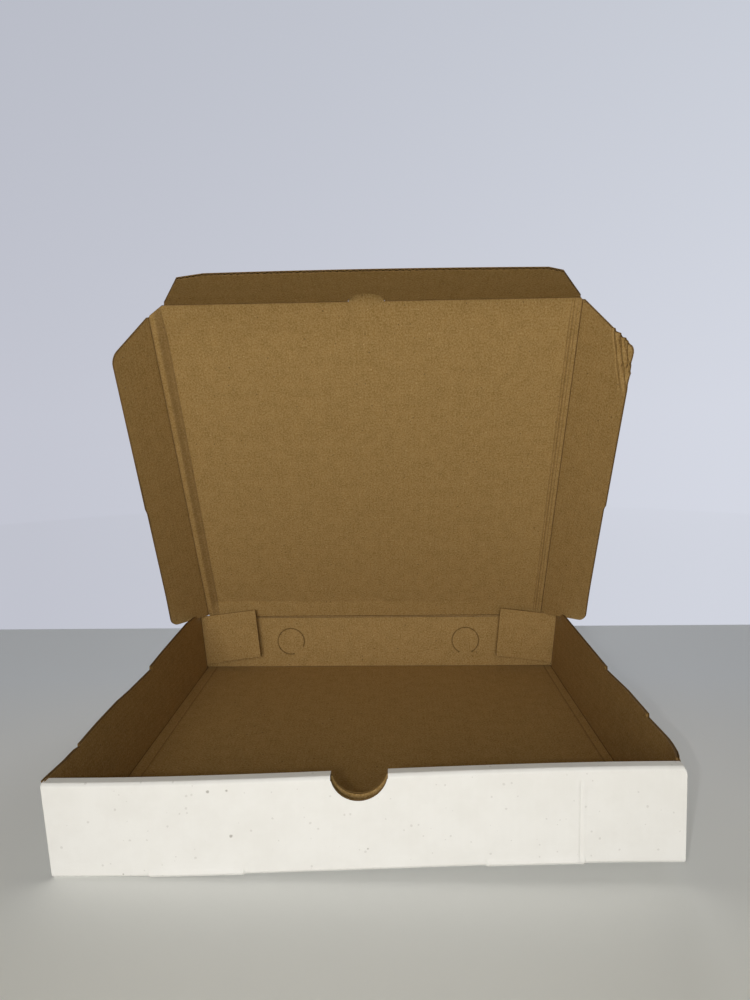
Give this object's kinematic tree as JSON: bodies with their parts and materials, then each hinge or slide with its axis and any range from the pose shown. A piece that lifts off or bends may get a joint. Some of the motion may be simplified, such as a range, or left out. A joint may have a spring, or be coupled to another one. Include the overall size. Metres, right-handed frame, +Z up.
{
  "type": "pizza box",
  "caption": "Small folded corrugated pizza box with a double front wall, a propped lid, splayed lid flaps and loose rear corner tabs.",
  "frame": {"origin": "under the middle of the tray, on the face that it stands on", "axes": "+Z up, +Y from the front wall to the lid's hinge, +X to the right as seen from the front"},
  "size_m": [0.2794, 0.2425, 0.2532],
  "materials": {
    "board": "matt, white outside and brown inside"
  },
  "bodies": {
    "tray": {"tray": "board"},
    "lid": {"lid_panel": "board"},
    "front_flap": {"lid_front_flap": "board"},
    "left_flap": {"lid_left_flap": "board"},
    "right_flap": {"lid_right_flap": "board"},
    "left_tab": {"rear_tab_left": "board"},
    "right_tab": {"rear_tab_right": "board"}
  },
  "joints": [
    {"name": "lid_hinge", "type": "hinge", "parent": "tray", "child": "lid", "pos_m": [0, 0.1202, 0.0391], "axis": [-1, 0, 0], "range_deg": [0, 117]},
    {"name": "front_flap_crease", "type": "hinge", "parent": "lid", "child": "front_flap", "pos_m": [-0.0028, 0.01578, 0.24403], "axis": [1, 0, 0], "range_deg": [-49, 41]},
    {"name": "left_flap_crease", "type": "hinge", "parent": "lid", "child": "left_flap", "pos_m": [-0.1219, 0.1202, 0.0391], "axis": [0, -0.454, 0.891], "range_deg": [-60, 30]},
    {"name": "right_flap_crease", "type": "hinge", "parent": "lid", "child": "right_flap", "pos_m": [0.1163, 0.1202, 0.0391], "axis": [0, 0.454, -0.891], "range_deg": [-48, 41]},
    {"name": "left_tab_crease", "type": "hinge", "parent": "tray", "child": "left_tab", "pos_m": [-0.12259, 0.1169, 0], "axis": [0.0872, 0, -0.9962], "range_deg": [0, 72]},
    {"name": "right_tab_crease", "type": "hinge", "parent": "tray", "child": "right_tab", "pos_m": [0.12259, 0.1169, 0], "axis": [0.0872, 0, 0.9962], "range_deg": [0, 72]}
  ]
}
